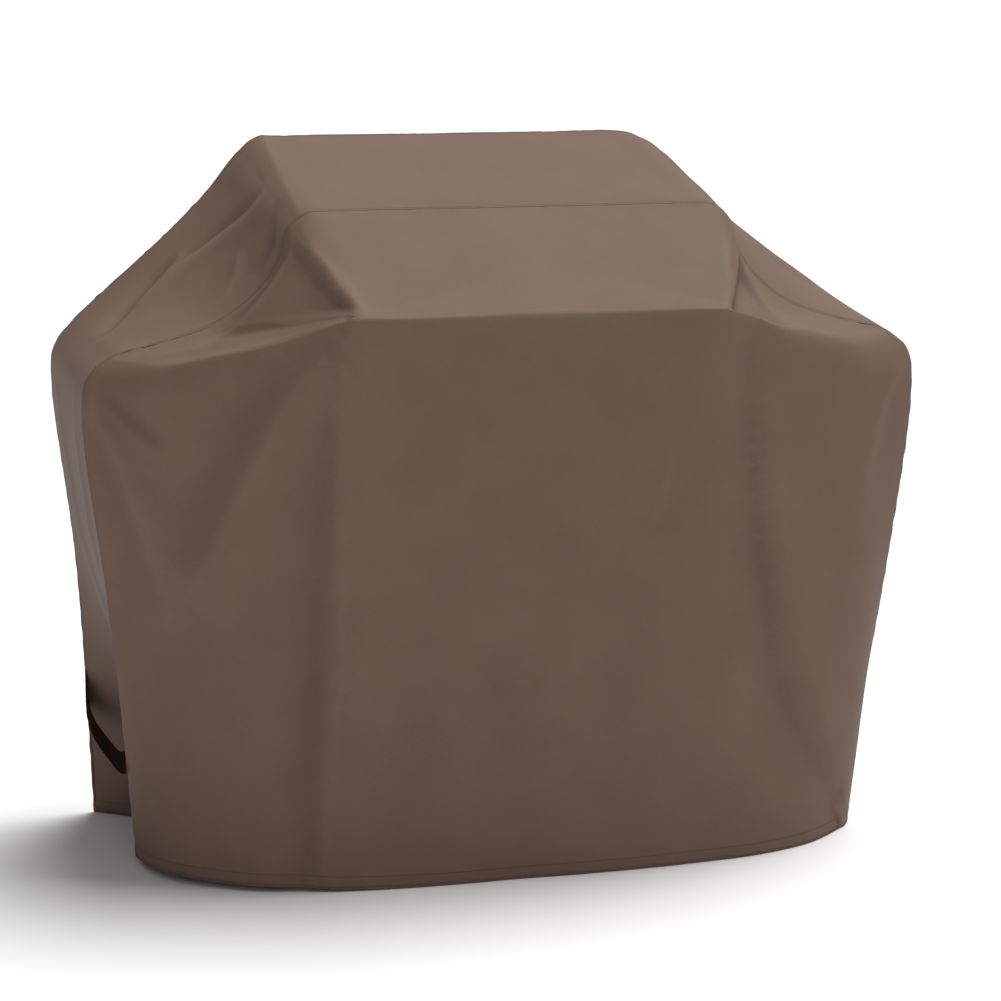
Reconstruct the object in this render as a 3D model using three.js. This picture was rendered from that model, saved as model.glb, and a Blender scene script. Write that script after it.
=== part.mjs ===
// Fitted fabric cover for a three-burner cart grill: millimetres, +Z up, front towards -Y.
// The origin is the middle of the footprint, on the level that the hem stands on.
import * as THREE from 'three';

// ---- Driving dimensions -------------------------------------------------------------------
const SHELF_HALF_WIDTH = 738;    // half of the width over the side shelves
const LID_REAR_HEIGHT = 1229;    // rear top edge of the lid above the hem
const LID_FRONT_HEIGHT = 1128;   // front top seam above the hem
const ORIGIN_SHIFT = 63;         // from the depths below to the middle of the footprint
const FRONT_SEAM_Y = -172;       // depth of the front seam, down to the shelves
const BACK_SEAM_Y = 272;         // depth of the back seam
const FOLD_Y = -398;             // the fold where the lid front turns down
const FOLD_HEIGHT = 970;
const HEM_HALF_WIDTH = 655;      // hem at the front corners
const HEM_CORNER_Y = -70;
const HEM_FRONT_Y = -344;        // furthest forward point of the hem
const HEM_ROUNDNESS = 3.5;       // exponent of the hem's plan curve
const HEM_SWAY = 5;              // the hem hangs this far to the right of the lid
const HEM_LIFT = 14;             // the hem's rise at its left front corner
const HEM_LIFT_FROM = -100;      // x where that rise begins
const FABRIC = 2.5;              // thickness of the cloth solids
const GAP = 0.5;                 // clearance between pieces that are sewn together
const SEAM_EASE = 1.25;          // extra room where a seam turns a sharp corner
const SIDE_PLEAT_DEPTH = 125;    // how far the side is drawn in at the hem
const SIDE_PLEAT_TOP = 600;      // height where the pleat runs out
const HEM_LAYER = 1.6;           // turned-up hem layer inside each panel
const BINDING = { depth: 11, thickness: 2.4 };
const THREAD = { width: 1.4, height: 0.9, lift: 0.5, fromSeam: 7 };
const WEBBING = { width: 38, thickness: 3 };
const HANDLE = {
  frontHeight: 190,              // middle of the webbing where it meets the front seam
  backHeight: 240,               // and the back seam
  lowHeight: 177,                // its lowest stretch
  lowShare: 0.4,                 // share of the span, from the front, that lies ahead of it
  sharpness: 5,                  // exponent of the hanging curve
  lift: 3.2,                     // distance outside the plane through the two seams
  seamClear: 2,
  rootLength: 14,                // stitched root of each end, which doesn't swing
};

// Half outlines of the two seams, from the middle of the lid outwards and down to the hem.
// Point by point they face each other across the band.
const FRONT_SEAM = [
  [0, FRONT_SEAM_Y - 4, LID_FRONT_HEIGHT], [150, FRONT_SEAM_Y - 4, LID_FRONT_HEIGHT],
  [300, FRONT_SEAM_Y - 4, LID_FRONT_HEIGHT], [360, FRONT_SEAM_Y - 3, LID_FRONT_HEIGHT - 4],
  [391, FRONT_SEAM_Y - 1, 1098], [402, FRONT_SEAM_Y, 1056], [430, FRONT_SEAM_Y, 1006],
  [500, FRONT_SEAM_Y, 951], [600, FRONT_SEAM_Y, 918], [684, FRONT_SEAM_Y, 897],
  [729, FRONT_SEAM_Y, 860], [SHELF_HALF_WIDTH, FRONT_SEAM_Y, 790], [704, -158, 480],
  [HEM_HALF_WIDTH, HEM_CORNER_Y, 0],
];
const BACK_SEAM = [
  [0, 258, LID_REAR_HEIGHT], [150, 258, LID_REAR_HEIGHT], [303, 258, LID_REAR_HEIGHT],
  [357, 259, LID_REAR_HEIGHT - 3], [393, 261, 1197], [440, 264, 1138], [505, 267, 1072],
  [575, 270, 1008], [640, BACK_SEAM_Y, 952], [695, BACK_SEAM_Y, 902], [726, BACK_SEAM_Y, 860],
  [731, BACK_SEAM_Y, 795], [699, 269, 480], [680, 262, 0],
];
const SEAM_STEPS = FRONT_SEAM.length - 1;
const LID_CORNER_STEP = 3.4;     // where the seams turn down from the lid
const SHELF_TOP_STEP = 8.85;     // last seam point above the front crease
const SHELF_EDGE_STEP = 9.15;    // where the front crease meets the seam

// Half of the front crease: the fold under the lid front, then the front edge of the shelf.
const CREASE = [
  [0, FOLD_Y, FOLD_HEIGHT], [200, FOLD_Y, FOLD_HEIGHT], [298, FOLD_Y + 2, FOLD_HEIGHT],
  [334, -386, 966], [430, -337, 930], [535, -284, 904], [605, -246, 889], [655, -206, 889],
];
// Valley where the sheet turns from the lid front and the lid's end onto the shelf, as
// [share of the crease, x, y, z].
const VALLEY = [
  [0, 0, -285, 1049], [0.41, 326, -384, 974], [0.8, 503, -202, 932], [1, 690, -172, 895],
];
const LID_CORNER_SHARE = 0.41;   // share of the crease that lies under the lid front

const COLOURS = { cloth: 0x76604f, lining: 0x4a4038, webbing: 0x17161a, thread: 0x5d4a3c };

// ---- Curves and surfaces --------------------------------------------------------------------
const vector = ([x, y, z]) => new THREE.Vector3(x, y, z);
const frontHalf = new THREE.CatmullRomCurve3(FRONT_SEAM.map(vector));
const backHalf = new THREE.CatmullRomCurve3(BACK_SEAM.map(vector));

function seamPoint(half, step, side) {
  const point = half.getPoint(Math.min(step / SEAM_STEPS, 1));
  return new THREE.Vector3(point.x * side, point.y, point.z);
}

const creaseEnd = seamPoint(frontHalf, SHELF_EDGE_STEP, 1);
const creaseHalf = new THREE.CatmullRomCurve3([...CREASE.map(vector), creaseEnd]);

class HemFront extends THREE.Curve {
  getPoint(t, target = new THREE.Vector3()) {
    const angle = t * Math.PI / 2;
    const x = HEM_HALF_WIDTH * Math.sin(angle) ** (2 / HEM_ROUNDNESS);
    return target.set(x, HEM_CORNER_Y + (HEM_FRONT_Y - HEM_CORNER_Y) * Math.cos(angle), 0);
  }
}
const hemFrontHalf = new HemFront();

// The lower sheet leans a little to the right, and its hem rises at the left front corner.
function settle(point) {
  const low = smooth(1 - point.z / FOLD_HEIGHT);
  const forward = smooth((BACK_SEAM_Y - point.y) / (BACK_SEAM_Y - FRONT_SEAM_Y));
  point.z += HEM_LIFT * low * forward * smooth((HEM_LIFT_FROM - point.x) / HEM_HALF_WIDTH);
  point.x += HEM_SWAY * low;
  return point;
}

function smooth(x) {
  const c = THREE.MathUtils.clamp(x, 0, 1);
  return c * c * (3 - 2 * c);
}

// Share of the panel's half width (0 at the middle, 1 at the shelf) to seam step, and back down.
function topStep(share) {
  if (share < LID_CORNER_SHARE) return LID_CORNER_STEP * share / LID_CORNER_SHARE;
  const beyond = (share - LID_CORNER_SHARE) / (1 - LID_CORNER_SHARE);
  return LID_CORNER_STEP + beyond * (SHELF_TOP_STEP - LID_CORNER_STEP);
}

// Step of a seam at a height below the shelf corner.
function stepAtHeight(half, height) {
  let [low, high] = [SHELF_EDGE_STEP, SEAM_STEPS];
  for (let i = 0; i < 24; i += 1) {
    const middle = (low + high) / 2;
    if (seamPoint(half, middle, 1).z > height) low = middle;
    else high = middle;
  }
  return (low + high) / 2;
}

// Step of the side edge of a panel's row: rows below the crease share the height evenly.
function edgeStepAt(down) {
  if (down <= 0) return THREE.MathUtils.lerp(SHELF_TOP_STEP, SHELF_EDGE_STEP, down + 1);
  return down === 1 ? SEAM_STEPS : stepAtHeight(frontHalf, creaseEnd.z * (1 - down));
}

// Front panel. across runs from -1 to 1. down runs from -1 at the seam, through 0 at the
// crease, to 1 at the hem.
function frontPanelPoint(across, down) {
  const side = across < 0 ? -1 : 1;
  const share = Math.abs(across);
  const mirror = (p) => new THREE.Vector3(p.x * side, p.y, p.z);
  const crease = mirror(creaseHalf.getPointAt(share));
  if (down <= 0) {
    const top = seamPoint(frontHalf, topStep(share), side);
    const valley = mirror(valleyAt(share));
    const point = down < -0.5 ? top.lerp(valley, 2 * (down + 1)) : valley.lerp(crease, 2 * down + 1);
    return settle(share === 1 ? seamPoint(frontHalf, edgeStepAt(down), side) : point);
  }
  const hem = mirror(hemFrontHalf.getPointAt(share));
  const point = crease.lerp(hem, down);
  const straight = creaseEndOn(side).lerp(seamPoint(frontHalf, SEAM_STEPS, side), down);
  point.addScaledVector(seamPoint(frontHalf, edgeStepAt(down), side).sub(straight), share ** 4);
  return settle(point);
}

function valleyAt(share) {
  const last = VALLEY.findIndex(([at]) => at >= share) || 1;
  const [from, to] = [VALLEY[last - 1], VALLEY[last]];
  const t = (share - from[0]) / (to[0] - from[0]);
  return vector(from.slice(1)).lerp(vector(to.slice(1)), t);
}

function creaseEndOn(side) {
  return new THREE.Vector3(creaseEnd.x * side, creaseEnd.y, creaseEnd.z);
}

// Back panel, with the same across and down as the front one.
function backPanelPoint(across, down) {
  const side = across < 0 ? -1 : 1;
  const share = Math.abs(across);
  const edge = seamPoint(backHalf, edgeStepAt(down), side);
  const top = seamPoint(backHalf, topStep(share), side);
  const corner = seamPoint(backHalf, SHELF_TOP_STEP, side);
  const point = top.clone();
  point.z = edge.z + (top.z - corner.z) * (edge.z / corner.z) ** 2;
  point.x = top.x + (edge.x - corner.x) * share ** 2;
  point.y = top.y + (edge.y - corner.y) * share ** 2;
  return settle(point);
}

// Band: step along the seams, side left or right, across from the front seam to the back one.
function bandPoint(step, side, across) {
  const point = seamPoint(frontHalf, step, side).lerp(seamPoint(backHalf, step, side), across);
  const depth = SIDE_PLEAT_DEPTH * smooth((SIDE_PLEAT_TOP - point.z) / SIDE_PLEAT_TOP);
  point.x -= side * depth * Math.sin(Math.PI * across);
  return settle(point);
}

// ---- Grids of points, and the closed solids made on them --------------------------------------
const COLUMNS = 20;                                  // per half of a panel
const UPPER_ROWS = [-1, -0.75, -0.5, -0.25, 0];
const LOWER_ROWS = [0.015, 0.04, 0.075, 0.13, 0.24, 0.36, 0.5, 0.64, 0.78, 0.89, 0.97, 1];
const ROWS = [...UPPER_ROWS, ...LOWER_ROWS];
const BAND_ACROSS = [0, 0.08, 0.2, 0.34, 0.5, 0.66, 0.8, 0.92, 1];
const LAST_ROW = ROWS.length - 1;

const shares = Array.from({ length: COLUMNS + 1 }, (_, i) => i / COLUMNS);
const acrossValues = [...shares.slice(1).reverse().map((s) => -s), ...shares];
const sideSteps = ROWS.slice(1).map(edgeStepAt);
const halfSteps = [...shares.map(topStep), ...sideSteps];
const stations = [
  ...halfSteps.slice(1).reverse().map((step) => ({ step, side: -1 })),
  ...halfSteps.map((step) => ({ step, side: 1 })),
];

const frontGrid = ROWS.map((down) => acrossValues.map((a) => frontPanelPoint(a, down)));
const backGrid = ROWS.map((down) => acrossValues.map((a) => backPanelPoint(a, down)));
const bandGrid = stations.map(({ step, side }) => BAND_ACROSS.map((w) => bandPoint(step, side, w)));

// The panel's edge vertex that belongs to a band station, and the vertex next to it inside.
function panelEdge(station) {
  const last = acrossValues.length - 1;
  const bottomUp = LAST_ROW - station;
  if (station < LAST_ROW) return { row: bottomUp, column: 0, inRow: bottomUp, inColumn: 1 };
  const fromRight = station - (stations.length - 1 - LAST_ROW);
  if (fromRight > 0) return { row: fromRight, column: last, inRow: fromRight, inColumn: last - 1 };
  const column = station - LAST_ROW;
  const inColumn = THREE.MathUtils.clamp(column, 1, last - 1);
  return { row: 0, column, inRow: 1, inColumn };
}

// Draw both sheets back from their seam until their inner faces clear each other.
function openSeam(panelGrid, bandEdge, bandInside) {
  const moves = stations.map((_, index) => {
    const edge = panelEdge(index);
    const seam = bandGrid[index][bandEdge].clone();
    const intoPanel = panelGrid[edge.inRow][edge.inColumn].clone().sub(seam).normalize();
    const intoBand = bandGrid[index][bandInside].clone().sub(seam).normalize();
    const angle = intoPanel.angleTo(intoBand);
    const inset = SEAM_EASE * FABRIC / Math.tan(angle / 2) + GAP;
    return { edge, seam, intoPanel, intoBand, angle, inset };
  });
  moves.forEach(({ edge, seam, intoPanel, intoBand, inset }, index) => {
    panelGrid[edge.row][edge.column] = seam.clone().addScaledVector(intoPanel, inset);
    bandGrid[index][bandEdge] = seam.clone().addScaledVector(intoBand, inset);
  });
  return moves;
}
const frontSeamStations = openSeam(frontGrid, 0, 1);
const backSeamStations = openSeam(backGrid, BAND_ACROSS.length - 1, BAND_ACROSS.length - 2);

// Outward unit normals of a grid. turn is 1 or -1, whichever makes them face out.
function gridNormals(grid, turn) {
  const at = (i, j) => grid[THREE.MathUtils.clamp(i, 0, grid.length - 1)][
    THREE.MathUtils.clamp(j, 0, grid[0].length - 1)];
  return grid.map((row, i) => row.map((_, j) => {
    const down = at(i + 1, j).clone().sub(at(i - 1, j)).normalize();
    const along = at(i, j + 1).clone().sub(at(i, j - 1)).normalize();
    return down.cross(along).normalize().multiplyScalar(turn);
  }));
}
const sheets = {
  front: { grid: frontGrid, normals: gridNormals(frontGrid, 1), turn: 1 },
  back: { grid: backGrid, normals: gridNormals(backGrid, -1), turn: -1 },
  band: { grid: bandGrid, normals: gridNormals(bandGrid, 1), turn: 1 },
};

// A point of the faceted sheet at fractional row i and column j, moved out by lift. Each cell
// is two triangles that meet on the diagonal from its first corner.
function onSheet(sheet, i, j, lift) {
  const i0 = Math.min(Math.floor(i), sheet.grid.length - 2);
  const j0 = Math.min(Math.floor(j), sheet.grid[0].length - 2);
  const [di, dj] = [i - i0, j - j0];
  const mix = (table) => {
    const [start, end] = [table[i0][j0], table[i0 + 1][j0 + 1]];
    const corner = di >= dj ? table[i0 + 1][j0] : table[i0][j0 + 1];
    return start.clone().multiplyScalar(1 - Math.max(di, dj))
      .addScaledVector(corner, Math.abs(di - dj)).addScaledVector(end, Math.min(di, dj));
  };
  return mix(sheet.grid).addScaledVector(mix(sheet.normals).normalize(), lift);
}

// Closed solid between two matching grids of points.
function slab(outer, inner, turn) {
  const rows = outer.length;
  const columns = outer[0].length;
  const positions = [...outer.flat(), ...inner.flat()].flatMap((p) => [p.x, p.y, p.z]);
  const index = [];
  const out = (i, j) => i * columns + j;
  const inn = (i, j) => rows * columns + i * columns + j;
  const quad = (a, b, c, d) => {
    if (turn > 0) index.push(a, b, c, a, c, d);
    else index.push(a, c, b, a, d, c);
  };
  for (let i = 0; i < rows - 1; i += 1) {
    for (let j = 0; j < columns - 1; j += 1) {
      quad(out(i, j), out(i + 1, j), out(i + 1, j + 1), out(i, j + 1));
      quad(inn(i, j), inn(i, j + 1), inn(i + 1, j + 1), inn(i + 1, j));
    }
    quad(out(i, 0), inn(i, 0), inn(i + 1, 0), out(i + 1, 0));
    const j = columns - 1;
    quad(out(i, j), out(i + 1, j), inn(i + 1, j), inn(i, j));
  }
  for (let j = 0; j < columns - 1; j += 1) {
    quad(out(0, j), out(0, j + 1), inn(0, j + 1), inn(0, j));
    const i = rows - 1;
    quad(out(i, j), inn(i, j), inn(i, j + 1), out(i, j + 1));
  }
  const geometry = new THREE.BufferGeometry();
  geometry.setAttribute('position', new THREE.Float32BufferAttribute(positions, 3));
  geometry.setIndex(index);
  geometry.computeVertexNormals();
  return geometry;
}

function slabOnSheet(sheet, iValues, jValues, outerLift, innerLift) {
  const layer = (lift) => iValues.map((i) => jValues.map((j) => onSheet(sheet, i, j, lift)));
  return slab(layer(outerLift), layer(innerLift), sheet.turn);
}

const range = (from, to) => Array.from({ length: to - from + 1 }, (_, i) => from + i);

// ---- Sub-parts --------------------------------------------------------------------------------
const cover = new THREE.Group();
cover.position.y = ORIGIN_SHIFT;

function addPiece(name, geometry, colour, roughness) {
  const material = new THREE.MeshStandardMaterial({ color: colour, roughness, metalness: 0 });
  const mesh = new THREE.Mesh(geometry, material);
  mesh.name = name;
  cover.add(mesh);
}

// A cloth sheet of full size, with a level lower edge at its hem ends.
function clothSheet(sheet, hemRows) {
  const outer = sheet.grid.map((row) => row.map((p) => p.clone()));
  const inner = sheet.grid.map((row, i) => row.map((p, j) => {
    const point = p.clone().addScaledVector(sheet.normals[i][j], -FABRIC);
    if (hemRows.includes(i)) point.z = p.z;
    return point;
  }));
  return slab(outer, inner, sheet.turn);
}
addPiece('front_panel', clothSheet(sheets.front, [LAST_ROW]), COLOURS.cloth, 0.85);
addPiece('back_panel', clothSheet(sheets.back, [LAST_ROW]), COLOURS.cloth, 0.85);
addPiece('top_and_side_band', clothSheet(sheets.band, [0, stations.length - 1]), COLOURS.cloth, 0.85);

// Seam bindings: the bound seam allowance, standing inwards along each seam.
function seamBinding(seamStations, panel, bandColumn) {
  const middle = seamStations.slice(2, -2).map((station, offset) => {
    const index = offset + 2;
    const { edge, seam, angle } = station;
    const inward = panel.normals[edge.row][edge.column].clone()
      .add(sheets.band.normals[index][bandColumn]).normalize().negate();
    const before = seamStations[index - 1].seam;
    const after = seamStations[index + 1].seam;
    const sideways = after.clone().sub(before).normalize().cross(inward).normalize();
    const start = SEAM_EASE * FABRIC / Math.sin(angle / 2)
      + BINDING.thickness / 2 / Math.tan(angle / 2) + 2 * GAP;
    return { seam, inward, sideways, start };
  });
  const face = (shift) => middle.map(({ seam, inward, sideways, start }) => [0, BINDING.depth].map(
    (depth) => seam.clone().addScaledVector(inward, start + depth).addScaledVector(sideways, shift),
  ));
  return slab(face(BINDING.thickness / 2), face(-BINDING.thickness / 2), 1);
}
const LAST_ACROSS = BAND_ACROSS.length - 1;
addPiece('front_seam_binding', seamBinding(frontSeamStations, sheets.front, 0), COLOURS.lining, 0.8);
addPiece('back_seam_binding', seamBinding(backSeamStations, sheets.back, LAST_ACROSS), COLOURS.lining, 0.8);

// Turned-up hem layers, each inside its own sheet.
const hemOut = -(FABRIC + GAP);
const hemIn = hemOut - HEM_LAYER;
const HEM_START = 0.02;          // share of the last row left free under the layer's lower edge
const panelColumns = range(1, acrossValues.length - 2);
const bandColumns = range(1, LAST_ACROSS - 1);
const hemRows = [LAST_ROW - 1, LAST_ROW - HEM_START];
const hems = [
  ['front_hem', sheets.front, hemRows, panelColumns],
  ['back_hem', sheets.back, hemRows, panelColumns],
  ['left_hem', sheets.band, [HEM_START, 1], bandColumns],
  ['right_hem', sheets.band, [stations.length - 2, stations.length - 1 - HEM_START], bandColumns],
];
for (const [name, sheet, iValues, jValues] of hems) {
  addPiece(name, slabOnSheet(sheet, iValues, jValues, hemOut, hemIn), COLOURS.cloth, 0.85);
}

// Sewing threads, as raised lines just over the cloth.
const threadTop = THREAD.lift + THREAD.height;
const HEM_THREAD_AT = 0.2;       // share of the hem row, measured from its top
const hemRowHeight = (1 - ROWS[LAST_ROW - 1]) * seamPoint(frontHalf, SHELF_EDGE_STEP, 1).z;
const threadShare = THREAD.width / hemRowHeight;
const threadRows = [LAST_ROW - 1 + HEM_THREAD_AT, LAST_ROW - 1 + HEM_THREAD_AT + threadShare];
const hemThreads = [
  ['front_hem_thread', sheets.front, threadRows, panelColumns],
  ['back_hem_thread', sheets.back, threadRows, panelColumns],
  ['left_hem_thread', sheets.band, [1 - HEM_THREAD_AT - threadShare, 1 - HEM_THREAD_AT], bandColumns],
  ['right_hem_thread', sheets.band, [stations.length - 2 + HEM_THREAD_AT,
    stations.length - 2 + HEM_THREAD_AT + threadShare], bandColumns],
];
for (const [name, sheet, iValues, jValues] of hemThreads) {
  addPiece(name, slabOnSheet(sheet, iValues, jValues, threadTop, THREAD.lift), COLOURS.thread, 0.6);
}

function seamThread(bandEdge, bandInside) {
  const toColumn = (index, distance) => {
    const length = bandGrid[index][bandEdge].distanceTo(bandGrid[index][bandInside]);
    return bandEdge + (bandInside - bandEdge) * distance / length;
  };
  const towards = bandInside > bandEdge ? 1 : -1;
  const distances = towards > 0
    ? [THREAD.fromSeam, THREAD.fromSeam + THREAD.width]
    : [THREAD.fromSeam + THREAD.width, THREAD.fromSeam];
  // Each run between two stations also gets a point where it crosses the cell's diagonal.
  const edgePoints = (distance, lift) => range(1, stations.length - 2).flatMap((i) => {
    const column = toColumn(i, distance);
    const here = onSheet(sheets.band, i, column, lift);
    if (i === stations.length - 2) return [here];
    const next = toColumn(i + 1, distance);
    const first = Math.min(Math.floor(column), LAST_ACROSS - 1);
    const share = (column - first) / (1 - (next - column));
    return [here, onSheet(sheets.band, i + share, column + (next - column) * share, lift)];
  });
  const layer = (lift) => {
    const [first, second] = distances.map((distance) => edgePoints(distance, lift));
    return first.map((point, k) => [point, second[k]]);
  };
  return slab(layer(threadTop), layer(THREAD.lift), 1);
}
addPiece('front_seam_thread', seamThread(0, 1), COLOURS.thread, 0.6);
addPiece('back_seam_thread', seamThread(LAST_ACROSS, LAST_ACROSS - 1), COLOURS.thread, 0.6);

// ---- Carrying handles: slack webbing hung between the two seams of each side --------------------
// The webbing lies in the upright plane through both seams. Its centre line is lowest in the
// middle and rises to the ends, which are cut upright and caught in the seams.
function handlePlane(side) {
  const seamAt = (half, height) => settle(seamPoint(half, stepAtHeight(half, height), side));
  const front = seamAt(frontHalf, HANDLE.frontHeight);
  const back = seamAt(backHalf, HANDLE.backHeight);
  const along = back.clone().sub(front).setZ(0);
  const span = along.length();
  along.normalize();
  const outward = new THREE.Vector3(-along.y, along.x, 0).multiplyScalar(-side);
  return { front, along, outward, span };
}

// Height of the webbing's centre line, and its slope, at a share of the span.
function handleLine(share, span) {
  const ahead = share < HANDLE.lowShare;
  const reach = ahead ? HANDLE.lowShare : 1 - HANDLE.lowShare;
  const rise = (ahead ? HANDLE.frontHeight : HANDLE.backHeight) - HANDLE.lowHeight;
  const t = Math.abs(share - HANDLE.lowShare) / reach;
  const height = HANDLE.lowHeight + rise * t ** HANDLE.sharpness;
  return { height, slope: rise * HANDLE.sharpness * t ** (HANDLE.sharpness - 1) / (reach * span) };
}

function webbingPiece(plane, from, to, columns, side) {
  const layer = (lift) => Array.from({ length: columns + 1 }, (_, i) => {
    const a = from + (to - from) * i / columns;
    const { height, slope } = handleLine(a / plane.span, plane.span);
    const half = WEBBING.width / 2 * Math.hypot(1, slope);
    return [half, -half].map((shift) => plane.front.clone().setZ(height + shift)
      .addScaledVector(plane.along, a).addScaledVector(plane.outward, HANDLE.lift + lift));
  });
  const lift = WEBBING.thickness / 2;
  return slab(layer(lift), layer(-lift), -side);
}

for (const [label, side] of [['left', -1], ['right', 1]]) {
  const plane = handlePlane(side);
  const root = HANDLE.seamClear + HANDLE.rootLength;
  const loopStart = root + GAP;
  addPiece(`${label}_handle_front_end`,
    webbingPiece(plane, HANDLE.seamClear, root, 1, side), COLOURS.webbing, 0.7);
  addPiece(`${label}_handle_back_end`,
    webbingPiece(plane, plane.span - root, plane.span - HANDLE.seamClear, 1, side),
    COLOURS.webbing, 0.7);
  addPiece(`${label}_handle`,
    webbingPiece(plane, loopStart, plane.span - loopStart, 24, side), COLOURS.webbing, 0.7);
}

export default cover;
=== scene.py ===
import math

import bpy
import numpy as np
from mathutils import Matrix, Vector


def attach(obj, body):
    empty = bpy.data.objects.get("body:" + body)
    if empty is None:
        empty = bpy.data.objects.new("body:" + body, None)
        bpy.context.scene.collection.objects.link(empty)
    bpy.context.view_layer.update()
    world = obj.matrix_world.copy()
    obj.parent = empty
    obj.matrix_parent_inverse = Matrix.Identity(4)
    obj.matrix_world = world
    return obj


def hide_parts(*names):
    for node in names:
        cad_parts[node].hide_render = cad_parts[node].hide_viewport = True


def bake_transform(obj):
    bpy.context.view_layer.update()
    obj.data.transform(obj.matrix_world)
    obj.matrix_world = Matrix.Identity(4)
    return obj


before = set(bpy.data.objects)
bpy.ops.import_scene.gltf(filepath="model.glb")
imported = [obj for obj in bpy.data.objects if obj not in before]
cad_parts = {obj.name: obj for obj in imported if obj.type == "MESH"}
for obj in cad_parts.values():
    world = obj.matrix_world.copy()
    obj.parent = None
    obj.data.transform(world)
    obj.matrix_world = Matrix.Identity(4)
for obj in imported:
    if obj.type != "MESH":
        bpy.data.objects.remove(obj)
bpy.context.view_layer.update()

MM = 0.001

# ---- Outlines, in millimetres from the middle of the shelves; to_frame() brings them into the frame
FRAME_SHIFT = 63                   # depth from here to the middle of the footprint
FRONT_SEAM = [
    (0, -176, 1128), (150, -176, 1128), (300, -176, 1128), (360, -175, 1124), (391, -173, 1098),
    (402, -172, 1056), (430, -172, 1006), (500, -172, 951), (600, -172, 918), (684, -172, 897),
    (729, -172, 860), (738, -172, 790), (704, -158, 480), (655, -70, 0),
]
BACK_SEAM = [
    (0, 258, 1229), (150, 258, 1229), (303, 258, 1229), (357, 259, 1226), (393, 261, 1197),
    (440, 264, 1138), (505, 267, 1072), (575, 270, 1008), (640, 272, 952), (695, 272, 902),
    (726, 272, 860), (731, 272, 795), (699, 269, 480), (680, 262, 0),
]
LID_CORNER_STEP, SHELF_TOP_STEP, SHELF_EDGE_STEP = 3.4, 8.85, 9.15
CREASE = [
    (0, -398, 970), (200, -398, 970), (298, -396, 970), (334, -386, 966), (430, -337, 930),
    (535, -284, 904), (605, -246, 889), (655, -206, 889),
]
VALLEY_SHARES = [0, 0.41, 0.8, 1]  # share of the crease, for each point of the valley
VALLEY = [(0, -285, 1049), (326, -384, 974), (503, -202, 932), (690, -172, 895)]
LID_CORNER_SHARE = 0.41
HEM_HALF_WIDTH, HEM_CORNER_Y, HEM_FRONT_Y, HEM_ROUNDNESS = 655, -70, -344, 3.5
HEM_SWAY, HEM_LIFT, HEM_LIFT_FROM = 5, 14, -100
SIDE_PLEAT_DEPTH, SIDE_PLEAT_TOP = 125, 600
FOLD_HEIGHT, FRONT_DEPTH, BACK_DEPTH = 970, -172, 272
CURVE_SAMPLES = 900

# ---- Cloth, sewing and webbing, in millimetres
CLOTH_THICK = 0.8
COLUMNS, UPPER_ROWS, LOWER_ROWS, BAND_COLUMNS = 100, 44, 130, 56
SEAM_LIP = [(0.95, 0.25), (0.35, 1.4), (0.3, 10)]   # (from the seam, inwards) of the turned edge
EDGE_INSET = 1.8                   # where the lip begins
LIP_UV = 0.002                     # metres of cloth from one row of a lip to the next
PUCKER = [(0.45, 6.1, 0), (0.35, 9.4, 1)]  # (height, length in each radian, phase) of the seam's waves
THREAD_FROM_SEAM, THREAD_ABOVE_HEM = 7, 21
STITCH = {"pitch": 4.2, "half": 1.6, "radius": 0.5, "arch": 0.6, "sunk": 0.35, "thinner": 0.35}
STITCH_RINGS, STITCH_SIDES = 5, 5
STITCH_UV = (0.002, 0.0004)        # metres of thread along half a stitch, and round each radian of it
HEM_TURN = [(0.3, 1.5), (0.5, -0.4), (-1.2, -0.5), (-2.2, 1), (-2.4, 20)]  # (outwards, up)
HEM_TURN_DEPTH, STRIP_THICK = 20, 0.5
TAPE_SECTION = [(2.1, 4), (2.1, 11), (1.2, 12.4), (-1.2, 12.4), (-2.1, 11), (-2.1, 4)]  # (to the panel, in)
TAPE_END = 3                       # rows of the seam that the tape leaves free at each hem
WEBBING = {"width": 38, "thickness": 1.7, "sunk": 0.4, "lift": 3.2, "lift_over": 30, "clear": 1.5,
           "root": 16, "bend_end": 85}
WEBBING_SECTION = [                # (share of half the width, share of half the thickness)
    (-1, 0.35), (-0.93, 1), (-0.8, 0.62), (-0.4, 0.8), (0, 0.62), (0.4, 0.8), (0.8, 0.62), (0.93, 1),
    (1, 0.35)]
HANDLE_STEPS = 70
HANDLE = {"front": 190, "back": 240, "low": 177, "low_share": 0.4, "sharpness": 5}

# ---- How folds, slopes, flat triangles and faint waves are made, in millimetres
FOLD_SAMPLES = 60
CROWN_SPAN, CROWN_ABOVE = (385, 725), 840             # from the middle, and above the ground
FACET_REACH, FACET_MARGIN, FACET_RIM = 120, 0.02, 0.16  # the last two are shares of the triangle
WANDER, WANDER_LENGTH = 0.35, 170                     # share of a wave that its line strays, and over what
RIGHT_SHELF_FROM, RIGHT_SHELF_ABOVE = (360, 90), (820, 40)  # where its rounding starts, and over what width
RIGHT_SHELF_PASSES = 30

# ---- How far the cloth's own shape changes its colour: painted highlight on ridges, painted shade in hollows
CURL_REACH, CURL_FULL = 2, 0.0012       # grid steps, and metres of bend that count as a full ridge
HOLLOW_PASSES, HOLLOW_FULL = 30, 0.009  # rounds of softening, and metres of depth that count as full
# Shares of painted highlight on ridges and of painted shade in hollows, and how dark that shade is against
# the darker mottle colour.
RIDGE_HIGHLIGHT_SHARE, HOLLOW_SHADE_SHARE, HOLLOW_SHADE_TONE = 0.12, 0.5, 0.3
SLUB_SHARE, WEAVE_SHARE, ROUGHNESS_SPREAD = 0.07, 0.55, 0.06


def to_frame(points):
    """From the outlines' millimetres to the frame's metres."""
    return (np.asarray(points, float) + (0, FRAME_SHIFT, 0)) * MM


def smooth(x):
    """0 below 0, 1 above 1, and an even curve between."""
    c = np.clip(x, 0, 1)
    return c * c * (3 - 2 * c)


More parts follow.
